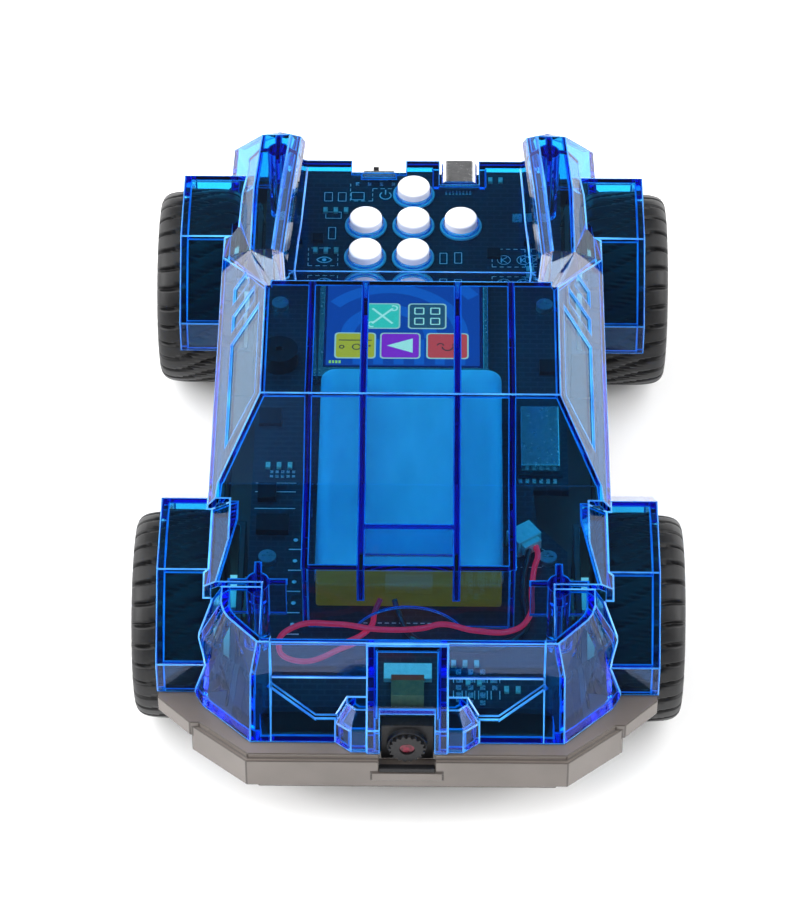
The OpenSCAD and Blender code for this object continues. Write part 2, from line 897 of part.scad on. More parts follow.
module motor_leads() {
    // two short wires from each motor's end cap to the board's edge
    for (sx = [-1, 1])
        for (axle = [-front_axle, rear_axle])
            for (w = [-1, 1])
                color(w > 0 ? "red" : "black")
                    wire(smooth([
                        [sx * (motor_x[0] - 1.5), axle + 3.4 * w, axle_z],
                        [sx * 8, axle + 3.4 * w, axle_z + 0.4],
                        [sx * 6.6, axle + 2.6 * w, axle_z + 1.4], [sx * 5, axle + 2 * w, axle_z + 2.4],
                        [sx * 3, axle + 2 * w, board_z - board_t - 0.7]
                    ], 3), 0.5);
}

module corner_place(side, axle) {
    translate([0, axle, axle_z])
        mirror([side < 0 ? 1 : 0, 0, 0])
            children();
}

module gearbox(side, axle) {
    color([0.8, 0.65, 0.3])
        corner_place(side, axle)
            difference() {
                union() {
                    for (x = [gearbox_x[0], gearbox_x[1] - 1.2])
                        block([x, -motor_w / 2, -motor_h / 2], [x + 1.2, motor_w / 2, motor_h / 2]);
                    rod_x(gearbox_x[0], gearbox_x[1], 3.6);
                    for (y = [-4.6, 4.6])
                        for (z = [-3.8, 3.8])
                            translate([0, y, z])
                                rod_x(gearbox_x[0], gearbox_x[1], 0.8);
                }
                rod_x(gearbox_x[0] + 1.2, 60, shaft_d / 2 + run_gap);
            }
}

module motor(side, axle) {
    color("silver")
        corner_place(side, axle)
            union() {
                intersection() {
                    rod_x(motor_x[0], motor_x[1], motor_w / 2);
                    block([0, -motor_w / 2, -motor_h / 2], [60, motor_w / 2, motor_h / 2]);
                }
                rod_x(motor_x[0] - 0.8, motor_x[0], 2.2);
                for (y = [-3.4, 3.4])
                    block([motor_x[0] - 1.4, y - 0.8, -0.25], [motor_x[0], y + 0.8, 0.25]);
            }
}

hub_x = [42, track_x + tyre_w / 2 - 2.4];
hub_r = tyre_d / 2 - 6.5;

module shaft(side, axle) {
    color("gray")
        corner_place(side, axle)
            difference() {
                rod_x(gearbox_x[0] + 1.6, hub_x[1] - 1, shaft_d / 2);
                block([38, -3, shaft_d / 2 - 0.5], [60, 3, 3]);
            }
}

module hub(side, axle) {
    color([0.12, 0.12, 0.13])
        corner_place(side, axle)
            difference() {
                union() {
                    difference() {
                        rod_x(track_x - tyre_w / 2 + 1.2, track_x + tyre_w / 2 - 1.2, hub_r);
                        rod_x(track_x - tyre_w / 2, track_x + tyre_w / 2, hub_r - 1.8);
                    }
                    for (k = [0:4])
                        rotate([72 * k, 0, 0])
                            block([hub_x[1] - 4.2, -2.4, 1], [hub_x[1] - 1.4, 2.4, hub_r - 1]);
                    rod_x(hub_x[0], hub_x[1], 4.4);
                }
                difference() {
                    rod_x(30, hub_x[1] - 0.8, shaft_d / 2);
                    block([38, -3, shaft_d / 2 - 0.5], [60, 3, 3]);
                }
            }
}

module tyre(side, axle) {
    // crowned tyre with round shoulders; each point is [radius, distance from the middle]
    r = tyre_d / 2;
    w = tyre_w / 2;
    half = [
        [hub_r, w - 1.2], [hub_r + 1.2, w - 0.2], [r - 4.4, w], [r - 2.4, w - 0.5], [r - 1.1, w - 1.7],
        [r - 0.5, w - 3.4], [r - 0.12, w - 6], [r, w - 8.2]
    ];
    across_tread = concat(
        [for (q = half) [q.x, -q.y]], [for (k = [len(half) - 1:-1:0]) half[k]]
    );
    color([0.09, 0.09, 0.09])
        corner_place(side, axle)
            translate([track_x, 0, 0])
                rotate([0, 90, 0])
                    rotate_extrude($fn = 96)
                        polygon(across_tread);
}

module gearbox_front_left() { gearbox(1, -front_axle); }
module gearbox_front_right() { gearbox(-1, -front_axle); }
module gearbox_rear_left() { gearbox(1, rear_axle); }
module gearbox_rear_right() { gearbox(-1, rear_axle); }
module motor_front_left() { motor(1, -front_axle); }
module motor_front_right() { motor(-1, -front_axle); }
module motor_rear_left() { motor(1, rear_axle); }
module motor_rear_right() { motor(-1, rear_axle); }
module shaft_front_left() { shaft(1, -front_axle); }
module shaft_front_right() { shaft(-1, -front_axle); }
module shaft_rear_left() { shaft(1, rear_axle); }
module shaft_rear_right() { shaft(-1, rear_axle); }
module hub_front_left() { hub(1, -front_axle); }
module hub_front_right() { hub(-1, -front_axle); }
module hub_rear_left() { hub(1, rear_axle); }
module hub_rear_right() { hub(-1, rear_axle); }
module tyre_front_left() { tyre(1, -front_axle); }
module tyre_front_right() { tyre(-1, -front_axle); }
module tyre_rear_left() { tyre(1, rear_axle); }
module tyre_rear_right() { tyre(-1, rear_axle); }

// ---- what is drawn ----

upper_shell();
lower_chassis();
main_board();
board_standoffs();
board_screws();
shell_screws();
display_board();
display_frame();
display_glass();
display_flex();
tact_switches();
usb_socket();
usb_tongue();
power_switch_body();
power_switch_knob();
button_up();
button_left();
button_centre();
button_right();
button_back();
button_home();
wifi_module();
wifi_shield();
board_chips();
board_passives();
buzzer();
battery_cell();
battery_tape();
battery_leads();
battery_plug();
battery_socket();
camera_body();
camera_focus_ring();
camera_lens();
camera_flex();
camera_socket();
motor_brackets();
motor_leads();
gearbox_front_left();
gearbox_front_right();
gearbox_rear_left();
gearbox_rear_right();
motor_front_left();
motor_front_right();
motor_rear_left();
motor_rear_right();
shaft_front_left();
shaft_front_right();
shaft_rear_left();
shaft_rear_right();
hub_front_left();
hub_front_right();
hub_rear_left();
hub_rear_right();
tyre_front_left();
tyre_front_right();
tyre_rear_left();
tyre_rear_right();
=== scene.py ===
"""Looks of the clear-shelled robot car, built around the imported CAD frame."""
import json
import math

import bmesh
import bpy
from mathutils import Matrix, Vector


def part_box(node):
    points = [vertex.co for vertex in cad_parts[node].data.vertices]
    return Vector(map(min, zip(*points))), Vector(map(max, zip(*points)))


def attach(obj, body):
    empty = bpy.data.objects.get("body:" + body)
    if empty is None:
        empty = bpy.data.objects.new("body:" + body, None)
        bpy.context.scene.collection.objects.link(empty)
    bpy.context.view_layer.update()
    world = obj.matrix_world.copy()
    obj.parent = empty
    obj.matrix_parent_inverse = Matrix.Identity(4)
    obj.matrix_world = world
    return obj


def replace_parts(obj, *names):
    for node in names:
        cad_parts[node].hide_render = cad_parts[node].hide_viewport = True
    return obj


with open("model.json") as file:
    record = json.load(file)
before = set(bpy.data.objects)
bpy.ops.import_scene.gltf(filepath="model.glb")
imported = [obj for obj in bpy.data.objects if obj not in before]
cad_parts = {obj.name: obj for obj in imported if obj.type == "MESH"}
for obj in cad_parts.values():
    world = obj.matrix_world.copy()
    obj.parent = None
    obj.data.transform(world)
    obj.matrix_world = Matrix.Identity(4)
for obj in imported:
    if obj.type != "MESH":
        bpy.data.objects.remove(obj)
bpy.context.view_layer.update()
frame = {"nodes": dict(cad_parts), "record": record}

MM = 0.001
NODES = frame["nodes"]


# ---- node material helpers ----

def new_material(name):
    """A material with its Principled shader and its output."""
    mat = bpy.data.materials.new(name)
    mat.use_nodes = True
    tree = mat.node_tree
    return mat, tree, tree.nodes["Principled BSDF"], tree.nodes["Material Output"]


def position(tree, scale=(1, 1, 1)):
    """The row frame's own coordinates, in millimetres, times scale."""
    place = tree.nodes.new("ShaderNodeTexCoord")
    mapping = tree.nodes.new("ShaderNodeMapping")
    mapping.inputs["Scale"].default_value = [s / MM for s in scale]
    tree.links.new(place.outputs["Object"], mapping.inputs["Vector"])
    return mapping.outputs["Vector"]


def noise(tree, size, detail=3, stretch=(1, 1, 1)):
    """A noise whose features are about size millimetres across."""
    tex = tree.nodes.new("ShaderNodeTexNoise")
    tex.inputs["Scale"].default_value = 1 / size
    tex.inputs["Detail"].default_value = detail
    tree.links.new(position(tree, stretch), tex.inputs["Vector"])
    return tex.outputs["Fac"]


def ramp(tree, factor, stops):
    """A colour ramp over factor; stops are (place, colour)."""
    node = tree.nodes.new("ShaderNodeValToRGB")
    while len(node.color_ramp.elements) < len(stops):
        node.color_ramp.elements.new(0.5)
    for element, (place, colour) in zip(node.color_ramp.elements, stops):
        element.position = place
        element.color = (*colour, 1)
    tree.links.new(factor, node.inputs["Fac"])
    return node.outputs["Color"]


def bump(tree, shader, height, depth, strength=1.0):
    """Bump of a given depth in millimetres from a height between 0 and 1."""
    node = tree.nodes.new("ShaderNodeBump")
    node.inputs["Distance"].default_value = depth * MM
    node.inputs["Strength"].default_value = strength
    tree.links.new(height, node.inputs["Height"])
    tree.links.new(node.outputs["Normal"], shader.inputs["Normal"])


def vary(tree, factor, low, high):
    """factor mapped to between low and high."""
    node = tree.nodes.new("ShaderNodeMapRange")
    node.inputs["To Min"].default_value = low
    node.inputs["To Max"].default_value = high
    tree.links.new(factor, node.inputs["Value"])
    return node.outputs["Result"]


def surface(name, dark, light, rough, size, depth=0.0, metal=0.0, stretch=(1, 1, 1), **sockets):
    """Two-tone mottled surface whose roughness and bump follow the same grain."""
    mat, tree, shader, _ = new_material(name)
    grain = noise(tree, size, stretch=stretch)
    tree.links.new(ramp(tree, grain, [(0.3, dark), (0.7, light)]), shader.inputs["Base Color"])
    tree.links.new(vary(tree, grain, rough * 0.85, rough * 1.15), shader.inputs["Roughness"])
    shader.inputs["Metallic"].default_value = metal
    for socket, value in sockets.items():
        shader.inputs[socket.replace("_", " ")].default_value = value
    if depth:
        bump(tree, shader, grain, depth)
    return mat


def clear_plastic(name, absorb, rough=0.01, tone=(1, 1, 1)):
    """Solid clear plastic that takes up light as it passes; absorb is per millimetre in r, g and b."""
    mat, tree, shader, output = new_material(name)
    shader.inputs["Base Color"].default_value = (*tone, 1)
    shader.inputs["Transmission Weight"].default_value = 1
    shader.inputs["IOR"].default_value = 1.49
    shader.inputs["Specular Tint"].default_value = (0.42, 0.55, 1, 1)
    shader.inputs["Specular IOR Level"].default_value = 0.42
    flow = noise(tree, 9, detail=2)
    tree.links.new(vary(tree, flow, rough * 0.5, rough * 1.5), shader.inputs["Roughness"])
    bump(tree, shader, flow, 0.02, 0.15)
    most = max(absorb)
    volume = tree.nodes.new("ShaderNodeVolumeAbsorption")
    volume.inputs["Color"].default_value = (*[1 - a / most for a in absorb], 1)
    volume.inputs["Density"].default_value = most / MM
    tree.links.new(volume.outputs["Volume"], output.inputs["Volume"])
    return mat


def glowing(name, light):
    """A lit patch of the screen, with the fine grid of its dots; light is what it gives off in r, g and b."""
    mat, tree, shader, _ = new_material(name)
    strength = max(light)
    colour = tuple(part / strength for part in light)
    dots = noise(tree, 0.25, detail=0)
    shade = ramp(tree, dots, [(0.2, tuple(0.88 * c for c in colour)), (0.8, colour)])
    tree.links.new(shade, shader.inputs["Emission Color"])
    shader.inputs["Base Color"].default_value = (*[0.05 * part for part in colour], 1)
    shader.inputs["Emission Strength"].default_value = strength
    shader.inputs["Roughness"].default_value = 0.3
    return mat


def board_mask():
    """Black solder mask, with faint copper tracks below it."""
    mat, tree, shader, _ = new_material("board_mask")
    tracks = tree.nodes.new("ShaderNodeTexBrick")
    tracks.inputs["Scale"].default_value = 0.16
    tracks.inputs["Mortar Size"].default_value = 0.03
    tracks.inputs["Color1"].default_value = (0.010, 0.016, 0.024, 1)
    tracks.inputs["Color2"].default_value = (0.013, 0.021, 0.030, 1)
    tracks.inputs["Mortar"].default_value = (0.022, 0.034, 0.046, 1)
    tree.links.new(position(tree), tracks.inputs["Vector"])
    tree.links.new(tracks.outputs["Color"], shader.inputs["Base Color"])
    tree.links.new(vary(tree, noise(tree, 3), 0.28, 0.42), shader.inputs["Roughness"])
    bump(tree, shader, tracks.outputs["Fac"], 0.02, 0.5)
    return mat


def pouch_foil():
    """Silvery pouch of the battery, with soft wrinkles."""
    mat, tree, shader, _ = new_material("pouch_foil")
    folds = noise(tree, 7, detail=2, stretch=(1, 0.35, 1))
    tree.links.new(ramp(tree, folds, [(0.3, (0.68, 0.78, 0.84)), (0.7, (0.82, 0.90, 0.96))]),
                   shader.inputs["Base Color"])
    shader.inputs["Metallic"].default_value = 0.25
    tree.links.new(vary(tree, folds, 0.42, 0.6), shader.inputs["Roughness"])
    bump(tree, shader, folds, 0.25, 0.5)
    return mat


BLUE_ABSORB = (1.15, 0.24, 0.02)

MATERIALS = {
    "clear_blue": clear_plastic("clear_blue", BLUE_ABSORB),
    "smoke_clear": surface("smoke_clear", (0.145, 0.125, 0.112), (0.18, 0.155, 0.14), 0.18, 14,
                           Transmission_Weight=0.3, IOR=1.49),
    # painted highlight: opaque light-blue edge strips that glow faintly, standing in for the light gathered
    # in the clear shell's rounded edges
    "painted_edge_highlight": surface("painted_edge_highlight", (0.02, 0.16, 0.60), (0.09, 0.46, 0.95), 0.12, 9,
                         Emission_Color=(0.02, 0.22, 0.80, 1), Emission_Strength=0.12),
    # painted shade: opaque dark brown on the smoky chassis's rounded edges, standing in for the dark lines
    # that light makes along them
    "painted_edge_shade": surface("painted_edge_shade", (0.035, 0.028, 0.024), (0.05, 0.04, 0.035), 0.2, 6),
    "tyre_rubber": surface("tyre_rubber", (0.004, 0.004, 0.0045), (0.008, 0.008, 0.009), 0.45, 1.2, 0.03,
                           Specular_IOR_Level=0.3),
    "black_plastic": surface("black_plastic", (0.006, 0.006, 0.007), (0.012, 0.012, 0.014), 0.42, 0.5, 0.01,
                             Specular_IOR_Level=0.22),
    "steel": surface("steel", (0.52, 0.52, 0.54), (0.66, 0.66, 0.68), 0.3, 0.4, 0.01, metal=1.0),
    "brass_plate": surface("brass_plate", (0.70, 0.52, 0.24), (0.82, 0.64, 0.32), 0.3, 0.8, 0.01, metal=1.0),
    "motor_steel": surface("motor_steel", (0.46, 0.46, 0.48), (0.58, 0.58, 0.60), 0.35, 0.5, 0.01,
                           metal=1.0, stretch=(0.1, 1, 1)),
    "white_plastic": surface("white_plastic", (0.78, 0.78, 0.80), (0.86, 0.86, 0.88), 0.5, 0.6, 0.01),
    "button_white": surface("button_white", (0.80, 0.80, 0.84), (0.86, 0.86, 0.90), 0.34, 2.5, 0.01),
    "board_mask": board_mask(),
    "bright_steel": surface("bright_steel", (0.60, 0.61, 0.63), (0.74, 0.75, 0.77), 0.26, 0.9, 0.02,
                            metal=1.0),
    "screen_glass": surface("screen_glass", (0.010, 0.020, 0.10), (0.014, 0.028, 0.13), 0.12, 4),
    "flex_film": surface("flex_film", (0.10, 0.045, 0.015), (0.16, 0.075, 0.025), 0.35, 1.2, 0.02),
    "ceramic": surface("ceramic", (0.50, 0.42, 0.32), (0.72, 0.66, 0.56), 0.4, 0.8),
    "pouch_foil": pouch_foil(),
    # painted light: the tape glows red-orange though it is no lamp, so that it stays red-orange under the
    # blue shell
    "amber_tape": surface("amber_tape", (0.50, 0.07, 0.01), (0.75, 0.17, 0.02), 0.25, 5, 0.15,
                          stretch=(0.3, 1, 1), Emission_Color=(1.0, 0.07, 0.0, 1), Emission_Strength=1.5),
    "ivory_plastic": surface("ivory_plastic", (0.72, 0.69, 0.62), (0.82, 0.80, 0.74), 0.45, 1.0, 0.01),
    # painted reflection: near black mottled towards pink, standing in for the pinkish glint on the lens
    "lens_glass": surface("lens_glass", (0.01, 0.003, 0.006), (0.26, 0.015, 0.045), 0.05, 1.3,
                          Specular_IOR_Level=0.3),
    # painted light: the red wires glow though they are no lamps, so that they stay red under the blue shell
    "red_wire": surface("red_wire", (0.72, 0.008, 0.025), (0.88, 0.015, 0.04), 0.35, 2.0, 0.01,
                        Emission_Color=(1.0, 0.01, 0.03, 1), Emission_Strength=1.6),
    "black_wire": surface("black_wire", (0.012, 0.012, 0.014), (0.03, 0.03, 0.033), 0.35, 2.0, 0.01),
    "ink": surface("ink", (0.68, 0.72, 0.76), (0.86, 0.88, 0.90), 0.55, 0.5),
    "solder": surface("solder", (0.62, 0.64, 0.66), (0.80, 0.82, 0.84), 0.28, 0.6, 0.02, metal=0.9),
}

RECORD_SLOT = {row["node"]: row["material_slot"] for row in frame["record"]["subparts"]}


# ---- CAD nodes ----


WELD_REACH = 0.004         # mm
FLAT_ANGLE = 0.6           # degrees between facets that are one flat face
SHARP_ANGLE = 28           # degrees from which an edge is rounded


def dress(node, bevel=0.0, segments=2, edge_look=None):
    """Gives a CAD node its material and, where asked, small rounded edges with a material of their own
    (painted edge shade on the lower chassis).
    """
    obj = NODES[node]
    name = RECORD_SLOT[node]
    obj.data.materials.clear()
    obj.data.materials.append(MATERIALS[name])
    if edge_look:
        obj.data.materials.append(MATERIALS[edge_look])
    if bevel:
        round_edges(obj, bevel, segments)


def round_edges(obj, bevel, segments):
    """Rounds the sharp edges of a triangulated mesh; the new faces get its last material."""
    weld = obj.modifiers.new("weld", "WELD")
    weld.merge_threshold = WELD_REACH * MM
    flat = obj.modifiers.new("flat", "DECIMATE")
    flat.decimate_type = "DISSOLVE"
    flat.angle_limit = math.radians(FLAT_ANGLE)
    edge = obj.modifiers.new("edge", "BEVEL")
    edge.width = bevel * MM
    edge.segments = segments
    edge.limit_method = "ANGLE"
    edge.angle_limit = math.radians(SHARP_ANGLE)
    edge.use_clamp_overlap = False
    edge.material = len(obj.data.materials) - 1


# width in mm, segments and the look of the rounded edge; the lower chassis's edges get painted dark edge
# lines
BEVELS = {
    "lower_chassis": (0.22, 2, "painted_edge_shade"), "battery_socket": (0.12, 2), "battery_plug": (0.12, 2),
    "camera_body": (0.15, 2), "display_frame": (0.1, 2), "wifi_shield": (0.25, 3), "battery_tape": (0.6, 3),
    "camera_socket": (0.08, 1), "power_switch_body": (0.08, 1), "power_switch_knob": (0.1, 2),
}
REMADE = {"battery_leads", "motor_leads"} | {n for n in NODES if n.startswith("tyre_")}

for node in NODES:
    if node not in REMADE:
        dress(node, *BEVELS.get(node, (0,)))


STRIP_THICK = 0.04         # mm


def edge_glow(node, width, look):
    """Thin strips of painted highlight, faintly glowing, along the rounded edges of clear plastic, just under
    its surface: they stand in for the light that gathers there.
    """
    source = NODES[node]
    probe = bpy.data.objects.new("probe", source.data.copy())
    probe.data.materials.append(MATERIALS[look])
    bpy.context.scene.collection.objects.link(probe)
    round_edges(probe, width, 1)
    rounded_mesh = bpy.data.meshes.new_from_object(probe.evaluated_get(bpy.context.evaluated_depsgraph_get()))
    bpy.data.objects.remove(probe)
    work = bmesh.new()
    work.from_mesh(rounded_mesh)
    flat_faces = [face for face in work.faces if face.material_index == 0]
    bmesh.ops.delete(work, geom=flat_faces, context="FACES")
    for face in work.faces:
        face.material_index = 0
    work.to_mesh(rounded_mesh)
    work.free()
    rounded_mesh.materials.clear()
    rounded_mesh.materials.append(MATERIALS[look])
    strips = bpy.data.objects.new(node + "_edges", rounded_mesh)
    bpy.context.scene.collection.objects.link(strips)
    thick = strips.modifiers.new("thick", "SOLIDIFY")
    thick.thickness = STRIP_THICK * MM
    thick.offset = -1
    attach(strips, "chassis")


# painted highlight strips along the upper shell's rounded edges
edge_glow("upper_shell", 0.22, "painted_edge_highlight")


# ---- new pieces ----

def add_mesh(name, verts, faces, material, body, smooth=False):
    """A mesh piece from points in millimetres in the row frame."""
    data = bpy.data.meshes.new(name)
    data.from_pydata([[c * MM for c in v] for v in verts], [], faces)
    data.validate()
    data.materials.append(material)
    if smooth:
        data.polygons.foreach_set("use_smooth", [True] * len(data.polygons))
    obj = bpy.data.objects.new(name, data)
    bpy.context.scene.collection.objects.link(obj)
    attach(obj, body)
    return obj


TREAD_DEPTH = 1.5          # mm
TREAD_PITCH = 12           # degrees between two grooves
TREAD_STEPS = 540          # mesh steps round the tyre
GROOVE_SLANT = 7.5         # degrees that a groove leads from the middle of the tread to its edge
GROOVE_CURVE = 3.0         # degrees that it bows on the way
GROOVE_WIDTH = 0.15        # share of the pitch, in the middle of the tread
GROOVE_FLARE = 0.06        # what it widens by towards the edge
GROOVE_WALL = 0.45         # share of the width that its sloped wall takes


def groove_depth(turn, u):
    """How deep the tread is cut: turn in degrees, u from -1 on the inner side to 1 on the outer side."""
    sweep = turn + GROOVE_SLANT * u + GROOVE_CURVE * math.sin(math.pi * u)
    from_groove = 1 - abs((sweep / TREAD_PITCH) % 1 - 0.5) * 2
    width = GROOVE_WIDTH + GROOVE_FLARE * abs(u)
    return max(0.0, min(1.0, (width - from_groove) / (GROOVE_WALL * width)))


def tyre_profile(half_width, r):
    """Outline across the tread: (distance across, radius, tread share), from the inner to the outer bead."""
    side = [(0.97, r - 4.6, 0.0), (1.0, r - 3.6, 0.25), (0.985, r - 2.5, 0.8), (0.955, r - 1.8, 1.0),
            (0.90, r - 1.15, 1.0), (0.82, r - 0.66, 1.0), (0.72, r - 0.36, 1.0), (0.60, r - 0.17, 1.0),
            (0.46, r - 0.06, 1.0), (0.31, r - 0.01, 1.0), (0.15, r, 1.0)]
    outer = [(x * half_width, rad, t) for x, rad, t in side]
    return [(-x, rad, t) for x, rad, t in outer] + [(0.0, r, 1.0)] + outer[::-1]


def tyre(node):
    """Tyre with slanted, curved tread grooves and a ribbed side wall around its rim."""
    low, high = (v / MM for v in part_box(node))
    centre = (low + high) / 2
    r = (high.z - low.z) / 2
    half_width = (high.x - low.x) / 2
    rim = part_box(node.replace("tyre", "hub"))
    rim_r = (rim[1].z - rim[0].z) / 2 / MM
    out = 1 if centre.x > 0 else -1
    bead = [(half_width * 0.86, rim_r + 0.02, 0.0), (half_width * 0.93, rim_r + 0.5, 0.0),
            (half_width * 0.955, rim_r + 1.4, 0.0)]
    ring = [(-x, rad, t) for x, rad, t in bead] + tyre_profile(half_width, r) + bead[::-1]
    verts, faces = [], []
    for k in range(TREAD_STEPS):
        turn = 360 * k / TREAD_STEPS
        c, s = math.cos(math.radians(turn)), math.sin(math.radians(turn))
        for x, rad, share in ring:
            cut = TREAD_DEPTH * share * groove_depth(turn * out, x / half_width) if share else 0
            verts.append((centre.x + out * x, centre.y + c * (rad - cut), centre.z + s * (rad - cut)))
    n = len(ring)
    for k in range(TREAD_STEPS):
        a, b = k * n, (k + 1) % TREAD_STEPS * n
        for i in range(n):
            j = (i + 1) % n
            quad = (a + i, a + j, b + j, b + i)
            faces.append(quad if out > 0 else quad[::-1])
    piece = add_mesh("tread_" + node, verts, faces, MATERIALS["tyre_rubber"],
                     node.replace("tyre", "wheel"), smooth=True)
    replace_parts(piece, node)


for node in sorted(n for n in NODES if n.startswith("tyre_")):
    tyre(node)


BATTERY_WIRE_R = 0.6
MOTOR_WIRE_R = 0.45


def wire(name, points, radius, material):
    """Round wire on a smooth curve through points in millimetres."""
    curve = bpy.data.curves.new(name, "CURVE")
    curve.dimensions = "3D"
    curve.bevel_depth = radius * MM
    curve.bevel_resolution = 4
    curve.resolution_u = 8
    curve.use_fill_caps = True
    spline = curve.splines.new("BEZIER")
    spline.bezier_points.add(len(points) - 1)
    for knot, point in zip(spline.bezier_points, points):
        knot.co = [c * MM for c in point]
        knot.handle_left_type = knot.handle_right_type = "AUTO"
    curve.materials.append(material)
    obj = bpy.data.objects.new(name, curve)
    bpy.context.scene.collection.objects.link(obj)
    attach(obj, "chassis")
    return obj


BATTERY_RED = [
    (-6, -53.9, 32), (-7, -56.6, 31.4), (-8, -61.6, 31), (-14, -66, 30.6), (-23, -69.4, 30.4),
    (-27, -66, 30.6), (-24, -61.8, 31.2), (-15, -61.4, 31.8), (-6, -63.4, 32.4), (3, -62.6, 32),
    (7, -61.4, 32), (14, -63, 31.8), (22, -62.4, 31.4), (25.4, -58, 31), (26, -50, 31), (26.6, -44, 31),
    (27.4, -40, 31.05), (27.1, -37.6, 31.05),
]
BATTERY_BLACK = [
    (-3, -53.9, 32), (-2, -57, 30.6), (2, -64.6, 30.4), (10, -65.6, 30.2), (19, -65.2, 30.2),
    (24.6, -60.4, 29.8), (24.2, -52, 29.8), (24.3, -46, 30.4), (25.2, -41, 31.05), (25.6, -38.6, 31.05),
]
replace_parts(wire("battery_lead_red", BATTERY_RED, BATTERY_WIRE_R, MATERIALS["red_wire"]), "battery_leads")
wire("battery_lead_black", BATTERY_BLACK, BATTERY_WIRE_R, MATERIALS["black_wire"])

motor_wires = []
for side in (-1, 1):
    for end in ("front", "rear"):
        motor = f"motor_{end}_{'left' if side > 0 else 'right'}"
        low, high = (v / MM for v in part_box(motor))
        axle, height = (low.y + high.y) / 2, (low.z + high.z) / 2
        inner = min(abs(low.x), abs(high.x))
        for w in (-1, 1):
            route = [(side * (inner - 0.1), axle + 3.4 * w, height), (side * 8, axle + 3.4 * w, height + 0.4),
                     (side * 6.6, axle + 2.6 * w, height + 1.4), (side * 5, axle + 2 * w, height + 2.4),
                     (side * 3, axle + 2 * w, height + 4.5)]
            colour = MATERIALS["red_wire" if w > 0 else "black_wire"]
            motor_wires.append(wire(f"motor_lead_{end}_{side + 1}_{w + 1}", route, MOTOR_WIRE_R, colour))
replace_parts(motor_wires[0], "motor_leads")


def camera_holder():
    """Black tray under the camera, in the notch of the bumper."""
    low, high = (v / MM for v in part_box("camera_body"))
    x0, x1 = low.x - 0.3, high.x + 0.3
    y0, y1 = low.y - 2.1, low.y - 0.15
    floor_z = low.z - 0.62
    tray, lip, rise = 0.4, 0.45, 1.1
    steps = [(y0, floor_z), (y1, floor_z), (y1, floor_z + tray), (y0 + lip, floor_z + tray),
             (y0 + lip, floor_z + rise), (y0, floor_z + rise)]
    n = len(steps)
    verts = [(x, y, z) for x in (x0, x1) for y, z in steps]
    faces = [tuple(range(n - 1, -1, -1)), tuple(range(n, 2 * n))]
    faces += [((i + 1) % n, n + (i + 1) % n, n + i, i) for i in range(n)]
    piece = add_mesh("camera_holder", verts, faces, MATERIALS["black_plastic"], "chassis")
    edge = piece.modifiers.new("edge", "BEVEL")
    edge.width = 0.12 * MM
    edge.segments = 2


camera_holder()


# ---- printed marks and pads on the board ----

BOARD_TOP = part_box("main_board")[1].z / MM


def spot(centre, radius, degrees):
    """The point at an angle on a circle."""
    turn = math.radians(degrees)
    return centre[0] + radius * math.cos(turn), centre[1] + radius * math.sin(turn)


def frame_of(x0, y0, x1, y1):
    """The closed outline of a box."""
    return [(x0, y0), (x1, y0), (x1, y1), (x0, y1), (x0, y0)]


class Sheet:
    """Gathers flat shapes that lie on one level into one thin mesh."""

    def __init__(self, base, thick):
        self.base, self.thick, self.verts, self.faces = base, thick, [], []

    def shape(self, points):
        """A convex outline, counter-clockwise, as a thin prism."""
        n, first = len(points), len(self.verts)
        self.verts += [(x, y, self.base) for x, y in points]
        self.verts += [(x, y, self.base + self.thick) for x, y in points]
        self.faces.append(tuple(first + i for i in range(n - 1, -1, -1)))
        self.faces.append(tuple(first + n + i for i in range(n)))
        for i in range(n):
            j = (i + 1) % n
            self.faces.append((first + i, first + j, first + n + j, first + n + i))

    def box(self, x0, y0, x1, y1):
        self.shape([(x0, y0), (x1, y0), (x1, y1), (x0, y1)])

    def line(self, a, b, width):
        along = Vector((b[0] - a[0], b[1] - a[1])).normalized()
        off = Vector((-along.y, along.x)) * width / 2
        a, b = Vector(a), Vector(b)
        self.shape([tuple(a - off), tuple(b - off), tuple(b + off), tuple(a + off)])

    def outline(self, points, width):
        for a, b in zip(points, points[1:]):
            self.line(a, b, width)

    def dashes(self, points, width, dash=1.0, space=0.7):
        for a, b in zip(points, points[1:]):
            a, b = Vector(a), Vector(b)
            length = (b - a).length
            along = (b - a) / length
            at = 0.0
            while at < length - 0.2:
                self.line(a + along * at, a + along * min(at + dash, length), width)
                at += dash + space

    def arc(self, centre, radius, start, end, width, steps=20):
        turns = [start + (end - start) * k / steps for k in range(steps + 1)]
        self.outline([spot(centre, radius, turn) for turn in turns], width)

    def dot(self, centre, radius, steps=16):
        self.shape([spot(centre, radius, 360 * k / steps) for k in range(steps)])

    def make(self, name, material):
        return add_mesh(name, self.verts, self.faces, material, "chassis")


# corner, width and length
PART_OUTLINES = [
    (-20.8, 76.5, 1.8, 3), (-17.6, 76.5, 1.8, 3), (-20.4, 70.4, 3.6, 2.2), (-14.6, 77, 3, 2.6),
    (-19.6, 63.2, 1.6, 4), (6.2, 54.9, 1.6, 3.6), (9.6, 55.1, 1.6, 3.6),
]


